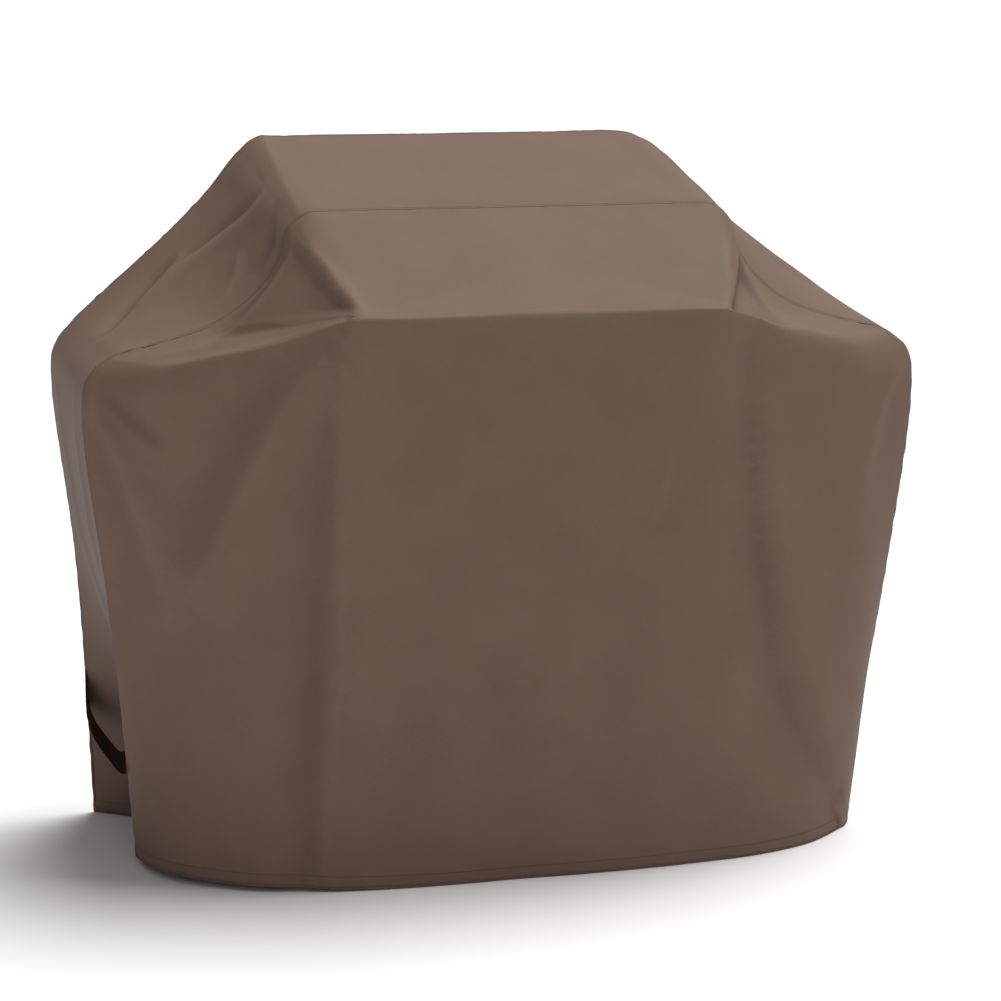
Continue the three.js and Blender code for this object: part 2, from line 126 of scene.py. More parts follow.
def unit(v):
    return v / np.maximum(np.linalg.norm(v, axis=-1, keepdims=True), 1e-12)


def lerp(a, b, t):
    return a + (b - a) * t


def distance_along(points, axis=0):
    """Distance of each point from the first one, along a path or along each line of a grid."""
    steps = np.linalg.norm(np.diff(points, axis=axis), axis=-1)
    return np.cumsum(np.insert(steps, 0, 0, axis=axis), axis=axis)


class Spline:
    """Centripetal Catmull-Rom curve. Its parameter counts the points from 0."""

    def __init__(self, points):
        p = np.array(points, float)
        self.last = len(p) - 1
        self.points = np.vstack([2 * p[0] - p[1], p, 2 * p[-1] - p[-2]])

    def at(self, step):
        step = np.clip(np.asarray(step, float), 0, self.last)
        first = np.minimum(step.astype(int), self.last - 1)
        w = (step - first)[..., None]
        p0, p1, p2, p3 = (self.points[first + k] for k in range(4))
        d0, d1, d2 = (
            np.sqrt(np.linalg.norm(b - a, axis=-1, keepdims=True))
            for a, b in ((p0, p1), (p1, p2), (p2, p3))
        )
        m1 = ((p1 - p0) / d0 - (p2 - p0) / (d0 + d1) + (p2 - p1) / d1) * d1
        m2 = ((p2 - p1) / d1 - (p3 - p1) / (d1 + d2) + (p3 - p2) / d2) * d1
        square, cube = 3 * (p2 - p1) - 2 * m1 - m2, 2 * (p1 - p2) + m1 + m2
        return p1 + w * (m1 + w * (square + w * cube))


def by_share(curve, top, share):
    """Points at shares of the length of curve(0..top)."""
    t = np.linspace(0, top, CURVE_SAMPLES)
    length = distance_along(curve(t))
    return curve(np.interp(share, length / length[-1], t))


front_line, back_line = Spline(FRONT_SEAM), Spline(BACK_SEAM)
crease_end = front_line.at(SHELF_EDGE_STEP)
crease_line = Spline([*CREASE, crease_end])


def hem_front(t):
    """Right half of the front hem, from its middle (0) to its corner (1)."""
    angle = np.asarray(t) * math.pi / 2
    x = HEM_HALF_WIDTH * np.sin(angle) ** (2 / HEM_ROUNDNESS)
    y = HEM_CORNER_Y + (HEM_FRONT_Y - HEM_CORNER_Y) * np.cos(angle)
    return np.stack([x, y, np.zeros_like(x)], axis=-1)


def settle(p):
    """The lower cloth leans a little to the right, and the hem rises at the left front corner."""
    low = smooth(1 - p[..., 2] / FOLD_HEIGHT)
    forward = smooth((BACK_DEPTH - p[..., 1]) / (BACK_DEPTH - FRONT_DEPTH))
    lift = HEM_LIFT * low * forward * smooth((HEM_LIFT_FROM - p[..., 0]) / HEM_HALF_WIDTH)
    return p + np.stack([HEM_SWAY * low, np.zeros_like(low), lift], axis=-1)


def top_step(share):
    """Step of a seam above a row's point, for its share of the way from the middle to the side."""
    beyond = (share - LID_CORNER_SHARE) / (1 - LID_CORNER_SHARE)
    over_lid = LID_CORNER_STEP * share / LID_CORNER_SHARE
    return np.where(share < LID_CORNER_SHARE, over_lid, lerp(LID_CORNER_STEP, SHELF_TOP_STEP, beyond))


def step_at_height(line, height):
    """Step of a seam at a height below its shelf's edge."""
    steps = np.linspace(SHELF_EDGE_STEP, line.last, CURVE_SAMPLES)
    return np.interp(-np.asarray(height, float), -line.at(steps)[:, 2], steps)


def edge_step(down):
    """Step of the seam beside a row. down is -1 at the top seam, 0 at the crease, 1 at the hem."""
    below = step_at_height(front_line, crease_end[2] * (1 - np.clip(down, 0, 1)))
    return np.where(down <= 0, lerp(SHELF_TOP_STEP, SHELF_EDGE_STEP, down + 1), below)


shares = np.linspace(0, 1, COLUMNS + 1)
across = np.concatenate([-shares[:0:-1], shares])
downs = np.concatenate([
    np.linspace(-1, 0, UPPER_ROWS, endpoint=False), np.linspace(0, 1, LOWER_ROWS + 1)])
share, side = np.abs(across)[None, :, None], np.where(across < 0, -1, 1)[None, :, None]
down = downs[:, None, None]
mirrored = np.concatenate([side, np.ones_like(side), np.ones_like(side)], axis=-1)
edge_steps = edge_step(downs)


def front_surface():
    """Grid of the front panel: over the lid's slope and the shelves, then down to the hem."""
    flat = np.abs(across)
    crease = by_share(crease_line.at, crease_line.last, flat)[None]
    top = front_line.at(top_step(flat))[None]
    valley = np.stack([np.interp(flat, VALLEY_SHARES, v) for v in np.array(VALLEY, float).T], -1)[None]
    upper = np.where(down < -0.5, lerp(top, valley, 2 * (down + 1)), lerp(valley, crease, 2 * down + 1))
    upper = np.where(share == 1, front_line.at(edge_steps)[:, None], upper)
    lower = lerp(crease, by_share(hem_front, 1, flat)[None], down)
    straight = lerp(crease_end, front_line.at(front_line.last), down)
    lower = lower + (front_line.at(edge_steps)[:, None] - straight) * share**4
    return settle(np.where(down <= 0, upper, lower) * mirrored)


def back_surface():
    """Grid of the back panel, which hangs almost straight."""
    edge = back_line.at(edge_steps)[:, None]
    top = np.repeat(back_line.at(top_step(np.abs(across)))[None], len(downs), axis=0)
    corner = back_line.at(SHELF_TOP_STEP)
    point = top + (edge - corner) * share**2
    point[..., 2] = edge[..., 2] + (top[..., 2] - corner[2]) * (edge[..., 2] / corner[2]) ** 2
    return settle(point * mirrored)


def stations():
    """(step, side) of each point along a seam, from the left hem over the lid to the right one."""
    half = np.concatenate([top_step(shares), edge_steps[1:]])
    return np.concatenate([half[:0:-1], half]), np.concatenate([-np.ones(len(half) - 1), np.ones(len(half))])


def band_surface():
    """Grid of the band: a row for each station, with columns from the front seam to the back one."""
    steps, sides = stations()
    over = np.linspace(0, 1, BAND_COLUMNS + 1)[None, :, None]
    point = lerp(front_line.at(steps)[:, None], back_line.at(steps)[:, None], over)
    low = smooth((SIDE_PLEAT_TOP - point[..., 2]) / SIDE_PLEAT_TOP)
    point[..., 0] -= SIDE_PLEAT_DEPTH * low * np.sin(math.pi * over[..., 0])
    point[..., 0] *= sides[:, None]
    return settle(point)


def normals_of(grid, turn):
    """Outward normals of a grid; turn is 1 or -1, from the order of its columns."""
    return unit(np.cross(np.gradient(grid, axis=0), np.gradient(grid, axis=1))) * turn


def soften(grid, passes):
    """Rounds the grid's folds, with its border left where it is."""
    for _ in range(passes):
        beside = grid[:-2, 1:-1] + grid[2:, 1:-1] + grid[1:-1, :-2] + grid[1:-1, 2:]
        grid[1:-1, 1:-1] += 0.5 * (beside / 4 - grid[1:-1, 1:-1])
    return grid


def fold(grid, turn, path, height, left, right, crisp=2.0, ends=(0, 0)):
    """Raises (or with a negative height, sinks) the cloth along a path of rough points, each
    brought to the nearest point of the cloth. left and right are the widths on either side of
    the path, as seen along it. ends are the shares of the height at the path's two ends."""
    flat, normals = grid.reshape(-1, 3), normals_of(grid, turn).reshape(-1, 3)
    knots = []
    for point in path:
        axes = [0, 2] if len(point) == 2 else [0, 1, 2]
        knots.append(flat[np.argmin(((flat[:, axes] - point) ** 2).sum(1))])
    line = Spline(knots) if len(knots) > 2 else None
    t = np.linspace(0, 1, FOLD_SAMPLES)
    samples = line.at(t * line.last) if line else lerp(knots[0], knots[1], t[:, None])
    reach = 3 * max(left, right)
    near = np.nonzero(((flat > samples.min(0) - reach) & (flat < samples.max(0) + reach)).all(1))[0]
    gaps = np.linalg.norm(flat[near, None] - samples[None], axis=2)
    nearest = gaps.argmin(1)
    away = flat[near] - samples[nearest]
    tangent = unit(np.gradient(samples, axis=0))[nearest]
    lateral = (away * np.cross(tangent, normals[near])).sum(1)
    width = np.where(lateral < 0, left, right)
    along = t[nearest]
    taper = np.interp(along, [0, 0.5, 1], [ends[0], 1, ends[1]])
    taper = np.maximum(np.sin(math.pi * along) ** 0.7, taper)
    taper = np.where((along == 0) | (along == 1), np.interp(along, [0, 1], ends), taper)
    rise = height * taper * np.exp(-(gaps.min(1) / width) ** crisp)
    flat[near] += normals[near] * rise[:, None]


def push(grids, centre, move, radius):
    """Moves the cloth of several sheets together round a point, so that their seams stay joined."""
    for grid in grids:
        away = np.linalg.norm(grid - centre, axis=-1, keepdims=True)
        grid += np.array(move, float) * np.exp(-(away / radius) ** 2)


def crown(grid, end, rise):
    """Raises the band between the seams on the slope from one end of the lid to its shelf."""
    across = np.sin(math.pi * np.linspace(0, 1, grid.shape[1])) ** 0.8
    middle = grid[:, grid.shape[1] // 2]
    start, stop = CROWN_SPAN
    along = np.clip((middle[:, 0] * end - start) / (stop - start), 0, 1) * (middle[:, 2] > CROWN_ABOVE)
    window = np.sin(math.pi * along ** 0.85) ** 0.9
    grid += normals_of(grid, 1) * (rise * window[:, None] * across)[..., None]


def facet(grid, turn, corners, depth, edge):
    """Draws the cloth flat between three rough points, and sinks the middle of it. edge is the
    share of the triangle over which the cloth goes from its own shape to the flat one."""
    flat = grid.reshape(-1, 3)
    a, b, c = (flat[np.argmin(((flat - corner) ** 2).sum(1))].copy() for corner in corners)
    normal = unit(np.cross(b - a, c - a))
    outward = normals_of(grid, turn)[grid.shape[0] // 2, grid.shape[1] // 2]
    normal *= math.copysign(1, (normal * outward).sum())
    away = (flat - a) @ normal
    basis = np.stack([b - a, c - a, normal], axis=1)
    share_b, share_c, _ = np.linalg.solve(basis, (flat - a).T)
    inside = np.minimum.reduce([share_b, share_c, 1 - share_b - share_c])
    weight = smooth((inside + FACET_MARGIN) / edge) * (np.abs(away) < FACET_REACH)
    flat -= normal * (away * weight + depth * smooth(inside / FACET_RIM) * weight)[:, None]


def round_off(grid, passes, weight):
    """Rounds the cloth's folds where weight is above 0."""
    grid += (soften(grid.copy(), passes) - grid) * weight[..., None]


def ripple(grid, turn, waves, fade):
    """Adds faint waves (height, wavelength across, wavelength down, phase), less near the border:
    they reach their full height fade grid steps from it."""
    rows, columns = grid.shape[:2]
    u, v = distance_along(grid, 1), distance_along(grid, 0)
    u -= u[:, columns // 2, None]
    total = sum(h * np.sin(2 * math.pi * (u / a + WANDER * np.sin(v / WANDER_LENGTH + phase) + v / b) + phase)
                for h, a, b, phase in waves)
    row, column = np.indices((rows, columns))
    inwards = np.minimum.reduce([row, column, columns - 1 - column])
    grid += normals_of(grid, turn) * (total * smooth(inwards / fade))[..., None]


front, back, band = front_surface(), back_surface(), band_surface()

# ---- The folds that the cloth takes over the lid, the shelves and the cart
soften(front, 3)
soften(back, 4)
soften(band, 2)
ripple(front, 1, [(1.4, 310, 2600, 0.4), (0.5, 170, 1900, 2.1)], 9)
ripple(back, -1, [(2.2, 260, 3000, 1.0), (1.2, 140, -1700, 2.7)], 9)
ripple(band, 1, [(0.5, 260, 420, 0.9)], 7)

# The lid's right rear corner is full, and the cloth bulges between the lid's ends and the shelves.
push((back, band), (392, 240, 1190), (6, 0, 3), 110)
push((back, band), (372, 262, 1222), (-2, 0, -9), 42)
crown(band, -1, 9)
crown(band, 1, 38)

# Corner of the body under the lid front's left end, the valley beside it, and the pulls across
# the left wing.
fold(front, 1, [(-337, 936), (-339, 677), (-354, 336), (-364, 35)], 8, 90, 24, 1.8, (0.6, 0.6))
fold(front, 1, [(-366, 905), (-388, 600), (-396, 300), (-402, 40)], -12, 24, 60, 1.8, (0, 0.6))
fold(front, 1, [(-358, 925), (-418, 845), (-498, 669), (-585, 480)], 14, 62, 28, 1.7, (0.1, 0))
fold(front, 1, [(-430, 905), (-520, 770), (-610, 560)], -6, 34, 50, 1.8)
fold(front, 1, [(-733, 838), (-690, 740), (-640, 600), (-605, 440)], 8, 40, 18, 1.6, (0.5, 0))
fold(front, 1, [(-728, 850), (-672, 800), (-611, 750)], -5, 26, 14, 1.6, (0.3, 0))
# Valley beside the right end with the ridge it has next to it, the faint pull inside it, and the
# right shelf corner.
fold(front, 1, [(350, 945), (354, 860), (384, 565), (433, 325), (497, 191), (580, 60)], -15, 34, 80, 2,
     (0.2, 0.6))
fold(front, 1, [(400, 900), (425, 600), (500, 330), (590, 110)], 8, 70, 24, 1.8, (0.2, 0.4))
fold(front, 1, [(217, 746), (187, 604)], 3, 26, 12, 1.5)
fold(front, 1, [(728, 850), (660, 770), (612, 610)], 5, 16, 34, 1.5, (0.3, 0))
# Folds and hollows where the lid front, its two ends and the shelves meet.
for end in (-1, 1):
    near, far = (9, 14) if end < 0 else (14, 9)
    fold(front, 1, [(end * 384, -180, 1092), (end * 345, -285, 1042), (end * 308, -383, 976)], 2.5, near, far,
         1.4, (0.5, 0.9))
    fold(front, 1, [(end * 318, -388, 966), (end * 419, -330, 938), (end * 527, -280, 908),
                    (end * 598, -250, 890)], 3, far, near, 1.4, (0.6, 0.1))
fold(front, 1, [(-400, -178, 1040), (-453, -180, 982), (-525, -186, 945)], 5, 9, 15, 1.5)
fold(front, 1, [(-479, -201, 950), (-560, -228, 922), (-640, -205, 898)], 3.5, 9, 18, 1.4)
facet(front, 1, [(-381, -188, 1094), (-308, -386, 974), (-530, -212, 931)], 6, 0.16)
facet(front, 1, [(406, -176, 1052), (303, -396, 962), (472, -318, 918)], 27, 0.1)
# Creases across the slopes of the band, the one along the lid's left end, and the folds down
# both sides.
fold(band, 1, [(-391, 28, 1146), (-445, 94, 1080), (-516, 119, 1016)], -11, 12, 30, 1.5, (0, 0.1))
fold(band, 1, [(-517, 158, 1027), (-598, 105, 955), (-687, -13, 900)], -11, 12, 30, 1.5, (0.1, 0))
fold(band, 1, [(-405, 0, 1128), (-455, 62, 1062), (-520, 90, 1005), (-610, 70, 945)], 5, 26, 34, 1.8)
fold(band, 1, [(-385, -49, 1134), (-403, -110, 1078), (-437, -125, 1014)], -6, 16, 22, 1.6)
fold(band, 1, [(-439, -16, 1051), (-455, -70, 1018), (-500, -120, 975)], 3.5, 14, 12, 1.6)
fold(band, 1, [(425, 90, 1112), (500, 20, 1042), (590, -60, 955)], -4, 16, 9, 1.4)
fold(band, 1, [(-345, 259, 1229), (-358, 34, 1173), (-366, -151, 1127)], 2.4, 10, 12, 1.3, (1, 1))
for end in (-1, 1):
    fold(band, 1, [(end * 728, 200, 850), (end * 700, 120, 560), (end * 640, 90, 200)], 5, 34, 24, 2,
         (0, 0.6))
    fold(band, 1, [(end * 728, -80, 850), (end * 705, -60, 620), (end * 650, -30, 300)], 4, 26, 32, 2,
         (0, 0.5))
# The right shelf's front edge is rounder than the left one's.
beyond_lid = smooth((front[..., 0] - RIGHT_SHELF_FROM[0]) / RIGHT_SHELF_FROM[1])
above_edge = smooth((front[..., 2] - RIGHT_SHELF_ABOVE[0]) / RIGHT_SHELF_ABOVE[1])
round_off(front, RIGHT_SHELF_PASSES, beyond_lid * above_edge)
front, back, band = to_frame(front), to_frame(back), to_frame(band)


# ---- Seams
def border(grid):
    """Row and column of each border point along the seam, and of the point just inside."""
    rows, columns = grid.shape[:2]
    up, over, down_again = np.arange(rows - 1, 0, -1), np.arange(columns), np.arange(1, rows)
    row = np.concatenate([up, 0 * over, down_again])
    column = np.concatenate([0 * up, over, 0 * down_again + columns - 1])
    in_row = np.concatenate([up, 0 * over + 1, down_again])
    in_column = np.concatenate([0 * up + 1, np.clip(over, 1, columns - 2), 0 * down_again + columns - 2])
    return row, column, in_row, in_column


def sew(panel, turn, edge, inside):
    """Brings a panel and the band to their seam, and returns what the lips and threads need."""
    row, column, in_row, in_column = border(panel)
    seam = band[:, edge].copy()
    outward = unit(normals_of(panel, turn)[row, column] + normals_of(band, 1)[:, edge])
    length = distance_along(seam) / MM
    pucker = sum(height * np.sin(length / each + phase) for height, each, phase in PUCKER)
    seam += outward * (pucker * MM)[:, None]
    into_panel = unit(panel[in_row, in_column] - seam)
    into_band = unit(band[:, inside] - seam)
    panel[row, column] = seam + into_panel * EDGE_INSET * MM
    band[:, edge] = seam + into_band * EDGE_INSET * MM
    return {"seam": seam, "outward": outward, "panel": into_panel, "band": into_band}


front_sewn = sew(front, 1, 0, 1)
back_sewn = sew(back, -1, -1, -2)


def lip(sewn, into):
    """Rows of points of a sheet's turned edge, which goes into the seam."""
    return [sewn["seam"] + (sewn[into] * away - sewn["outward"] * deep) * MM for away, deep in SEAM_LIP]


# ---- Meshes
def mesh_piece(name, points, faces, materials, uv):
    """A smooth object from points, lists of the points of each face, and a place in the cloth for
    each point."""
    mesh = bpy.data.meshes.new(name)
    mesh.from_pydata(points.tolist(), [], faces)
    mesh.polygons.foreach_set("use_smooth", [True] * len(mesh.polygons))
    corners = np.zeros(len(mesh.loops), np.int32)
    mesh.loops.foreach_get("vertex_index", corners)
    layer = mesh.uv_layers.new(name="Cloth")
    layer.data.foreach_set("uv", np.asarray(uv, np.float32)[corners].ravel())
    for each in materials:
        mesh.materials.append(each)
    piece = bpy.data.objects.new(name, mesh)
    bpy.context.scene.collection.objects.link(piece)
    return piece


def grid_uv(grid):
    """Distance across and down the cloth, in metres, so that a weave follows its threads."""
    u, v = distance_along(grid, 1), distance_along(grid, 0)
    return np.stack([u - u[:, grid.shape[1] // 2, None], -v], axis=-1).reshape(-1, 2)


def quads(index, turn):
    """Faces between the neighbouring rows of an array of vertex numbers."""
    a, b, c, d = index[:-1, :-1], index[1:, :-1], index[1:, 1:], index[:-1, 1:]
    order = (a, b, c, d) if turn > 0 else (a, d, c, b)
    return np.stack(order, axis=-1).reshape(-1, 4)


def curl_of(grid, turn):
    """How sharply the cloth bends at each point: above 0 on a ridge, below 0 in a hollow."""
    beside = np.zeros_like(grid)
    reach = CURL_REACH
    inner = (slice(reach, -reach),) * 2
    beside[inner] = (grid[:-2 * reach, reach:-reach] + grid[2 * reach:, reach:-reach]
                     + grid[reach:-reach, :-2 * reach] + grid[reach:-reach, 2 * reach:]) / 4 - grid[inner]
    bend = -(beside * normals_of(grid, turn)).sum(-1) / CURL_FULL
    return np.clip(bend, -1, 1)


def hollow_of(grid, turn):
    """How far each point lies below the cloth around it, from 0 to 1."""
    deep = soften(grid.copy(), HOLLOW_PASSES) - grid
    return np.clip((deep * normals_of(grid, turn)).sum(-1) / HOLLOW_FULL, 0, 1)


def thicken(piece, thickness, offset):
    """Gives a sheet its thickness: offset is -1 for inwards, and 0 for both ways."""
    thick = piece.modifiers.new("thickness", "SOLIDIFY")
    thick.thickness = thickness * MM
    thick.offset = offset
    return thick


def cloth_piece(name, grid, turn, lips):
    """A sheet from its grid, with turned lips: (row and column of the border points, rows of
    points, turn of the faces)."""
    rows, columns = grid.shape[:2]
    number = np.arange(rows * columns).reshape(rows, columns)
    points, uv, faces = [grid.reshape(-1, 3)], [grid_uv(grid)], [quads(number, turn)]
    curl = [curl_of(grid, turn).ravel()]
    hollow = [hollow_of(grid, turn).ravel()]
    count = rows * columns
    for (row, column), layers, facing in lips:
        ring = number[row, column]
        chain = [ring]
        for depth, layer in enumerate(layers):
            chain.append(np.arange(count, count + len(layer)))
            count += len(layer)
            points.append(layer)
            uv.append(uv[0][ring] + (0, LIP_UV * (depth + 1)))
            curl.append(np.zeros(len(layer)))
            hollow.append(np.zeros(len(layer)))
        faces.append(quads(np.array(chain), facing))
    piece = mesh_piece(name, np.concatenate(points), np.concatenate(faces).tolist(), [CLOTH, LINING],
                       np.concatenate(uv))
    for label, values in (("curl", curl), ("hollow", hollow)):
        attribute = piece.data.attributes.new(label, "FLOAT", "POINT")
        attribute.data.foreach_set("value", np.concatenate(values).astype(np.float32))
    thick = thicken(piece, CLOTH_THICK, -1)
    thick.material_offset = 1
    thick.material_offset_rim = 0
    return piece


# ---- Materials
def material(name):
    """A new material, with its node tree and its shader."""
    made = bpy.data.materials.new(name)
    made.use_nodes = True
    tree = made.node_tree
    shader = tree.nodes["Principled BSDF"]
    return made, tree, shader


def node(tree, kind, settings=None, **inputs):
    """A node with settings, and values or sockets for its inputs, by name or as i and a number."""
    made = tree.nodes.new(kind)
    for key, value in (settings or {}).items():
        setattr(made, key, value)
    for key, value in inputs.items():
        socket = made.inputs[int(key[1:])] if key[0] == "i" and key[1:].isdigit() else made.inputs[key]
        if isinstance(value, bpy.types.NodeSocket):
            tree.links.new(value, socket)
        else:
            socket.default_value = value
    return made


def maths(tree, operation, a, b=0.0):
    return node(tree, "ShaderNodeMath", {"operation": operation}, i0=a, i1=b).outputs[0]


def threads(tree, pitch):
    """Place in the cloth, and the height (0 to 1) there of a plain weave with a pitch in metres."""
    uv = node(tree, "ShaderNodeUVMap", {"uv_map": "Cloth"}).outputs[0]
    parts = node(tree, "ShaderNodeSeparateXYZ", i0=uv)
    waves = [maths(tree, "SINE", maths(tree, "MULTIPLY", parts.outputs[k], math.pi / pitch)) for k in (0, 1)]
    over, under = (maths(tree, "ABSOLUTE", wave) for wave in waves)
    turn = maths(tree, "GREATER_THAN", maths(tree, "MULTIPLY", waves[0], waves[1]), 0.0)
    other = maths(tree, "SUBTRACT", 1.0, turn)
    return uv, maths(tree, "ADD", maths(tree, "MULTIPLY", over, turn), maths(tree, "MULTIPLY", under, other))


def ramp(tree, factor, low, high, dark, light):
    """Colour from dark to light while factor goes from low to high."""
    made = node(tree, "ShaderNodeValToRGB", i0=factor)
    for element, position, colour in zip(made.color_ramp.elements, (low, high), (dark, light)):
        element.position = position
        element.color = (*colour, 1)
    return made.outputs[0]


def mix(tree, factor, a, b, blend="MIX"):
    made = node(tree, "ShaderNodeMix", {"data_type": "RGBA", "blend_type": blend})
    for socket, value in ((made.inputs[0], factor), (made.inputs[6], a), (made.inputs[7], b)):
        if isinstance(value, bpy.types.NodeSocket):
            tree.links.new(value, socket)
        else:
            socket.default_value = value if isinstance(value, float) else (*value, 1)
    return made.outputs[2]


def cloth_material(name, dark, light, pitch, roughness, sheen, bump, ridge_highlight=None, specular=0.22):
    """Woven cloth: a mottled dyed colour, slubs along the threads and a plain weave in relief; given a ridge
    colour, painted highlight on ridges and painted shade in hollows.
    """
    made, tree, shader = material(name)
    uv, weave = threads(tree, pitch)
    stretched = node(tree, "ShaderNodeMapping", i0=uv, Scale=(260, 26, 1)).outputs[0]
    slubs = node(tree, "ShaderNodeTexNoise", {"noise_dimensions": "3D"}, Vector=stretched, Scale=5.0,
                 Detail=4.0)
    place = node(tree, "ShaderNodeTexCoord").outputs["Object"]
    mottle = node(tree, "ShaderNodeTexNoise", Vector=place, Scale=9.0, Detail=5.0, Roughness=0.62)
    dye_light_and_shade = ramp(tree, mottle.outputs["Fac"], 0.32, 0.7, dark, light)
    slub = ramp(tree, slubs.outputs["Fac"], 0.3, 0.72, (0, 0, 0), (1, 1, 1))
    dye_light_and_shade = mix(tree, SLUB_SHARE, dye_light_and_shade, slub, "OVERLAY")
    shade = ramp(tree, weave, 0.0, 0.9, (0.8, 0.8, 0.8), (1, 1, 1))
    dye_light_and_shade = mix(tree, WEAVE_SHARE, dye_light_and_shade, shade, "MULTIPLY")
    if ridge_highlight:
        # Painted highlight: the cloth is drawn lighter on its ridges, towards the ridge colour.
        curl = node(tree, "ShaderNodeAttribute", {"attribute_name": "curl"}).outputs["Fac"]
        ridge = maths(tree, "MAXIMUM", curl, 0.0)
        dye_light_and_shade = mix(tree, maths(tree, "MULTIPLY", ridge, RIDGE_HIGHLIGHT_SHARE), dye_light_and_shade, ridge_highlight)
        # Painted shade: the cloth is drawn darker in its hollows, towards a fraction of its darker colour.
        hollow = node(tree, "ShaderNodeAttribute", {"attribute_name": "hollow"}).outputs["Fac"]
        deep = tuple(HOLLOW_SHADE_TONE * part for part in dark)
        dye_light_and_shade = mix(tree, maths(tree, "MULTIPLY", hollow, HOLLOW_SHADE_SHARE), dye_light_and_shade, deep)
    tree.links.new(dye_light_and_shade, shader.inputs["Base Color"])
    rough = node(tree, "ShaderNodeMapRange", Value=mottle.outputs["Fac"])
    rough.inputs["To Min"].default_value = roughness - ROUGHNESS_SPREAD
    rough.inputs["To Max"].default_value = roughness + ROUGHNESS_SPREAD
    tree.links.new(rough.outputs[0], shader.inputs["Roughness"])
    crinkle = node(tree, "ShaderNodeTexNoise", Vector=place, Scale=38.0, Detail=3.0)
    relief = node(tree, "ShaderNodeBump", Strength=0.35, Distance=0.0012, Height=crinkle.outputs["Fac"])
    fine = node(tree, "ShaderNodeBump", Strength=bump, Distance=pitch * 0.4, Height=weave)
    tree.links.new(relief.outputs[0], fine.inputs["Normal"])
    tree.links.new(fine.outputs[0], shader.inputs["Normal"])
    shader.inputs["Sheen Weight"].default_value = sheen
    shader.inputs["Specular IOR Level"].default_value = specular
    shader.inputs["Sheen Roughness"].default_value = 0.45
    return made


# The last colour is the painted highlight on the cloth's ridges; with it the hollows also get painted shade.
CLOTH = cloth_material("cloth_outside", (0.140, 0.086, 0.061), (0.159, 0.099, 0.072), 0.0009, 0.66, 0.0, 0.3,
                       (0.24, 0.17, 0.13))
LINING = cloth_material("cloth_inside", (0.075, 0.055, 0.044), (0.095, 0.070, 0.055), 0.0009, 0.45, 0.0, 0.25)
TAPE = cloth_material("binding_tape", (0.040, 0.029, 0.023), (0.058, 0.042, 0.033), 0.0012, 0.72, 0.02, 0.7)
THREAD = cloth_material("sewing_thread", (0.048, 0.029, 0.020), (0.070, 0.044, 0.031), 0.0005, 0.5, 0.03, 0.6)
WEB = cloth_material("black_webbing", (0.013, 0.008, 0.0055), (0.022, 0.014, 0.0095), 0.0021, 0.9, 0.0, 0.9,
                     specular=0.0)

# ---- Panels, band and hems
band_rows = np.arange(len(band))
front_piece = cloth_piece("front_cloth", front, 1, [(border(front)[:2], lip(front_sewn, "panel"), -1)])
back_piece = cloth_piece("back_cloth", back, -1, [(border(back)[:2], lip(back_sewn, "panel"), 1)])
band_piece = cloth_piece("band_cloth", band, 1, [
    ((band_rows, 0 * band_rows), lip(front_sewn, "band"), 1),
    ((band_rows, 0 * band_rows + BAND_COLUMNS), lip(back_sewn, "band"), -1)])
for piece, node_name in ((front_piece, "front_panel"), (back_piece, "back_panel"),
                         (band_piece, "top_and_side_band")):
    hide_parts(node_name)
    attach(piece, "cover")


def above_hem(lines, distance):
    """Points at a distance up the cloth from the hem; each line runs from the hem upwards."""
    return np.array([[np.interp(distance, d, line[:, k]) for k in range(3)]
                     for d, line in zip(distance_along(lines, 1), lines)])


HEM_REACH = 9                      # rows of the cloth grid that a hem's turn and thread can meet
HEMS = {
    "front": (front[:-HEM_REACH:-1].transpose(1, 0, 2), normals_of(front, 1)[-1]),
    "back": (back[:-HEM_REACH:-1].transpose(1, 0, 2), normals_of(back, -1)[-1]),
    "left": (band[:HEM_REACH].transpose(1, 0, 2), normals_of(band, 1)[0]),
    "right": (band[:-HEM_REACH:-1].transpose(1, 0, 2), normals_of(band, 1)[-1]),
}


def strip_piece(name, layers, cloth):
    """A narrow strip of cloth through rows of points."""
    grid = np.array(layers)
    number = np.arange(grid.shape[0] * grid.shape[1]).reshape(grid.shape[:2])
    piece = mesh_piece(name, grid.reshape(-1, 3), quads(number, 1).tolist(), [cloth], grid_uv(grid))
    thicken(piece, STRIP_THICK, 0)
    return piece


def hem_piece(name, lines, normals):
    """The cloth's turned edge, kept above the ground."""
    level = unit(normals * (1, 1, 0))
    foot = lines[:, 0]
    up = unit(above_hem(lines, HEM_TURN_DEPTH * MM) - foot)
    layers = [foot + (level * out + up * rise) * MM for out, rise in HEM_TURN]
    for layer in layers:
        layer[:, 2] = np.maximum(layer[:, 2], 0)
    return strip_piece(name, layers, CLOTH)


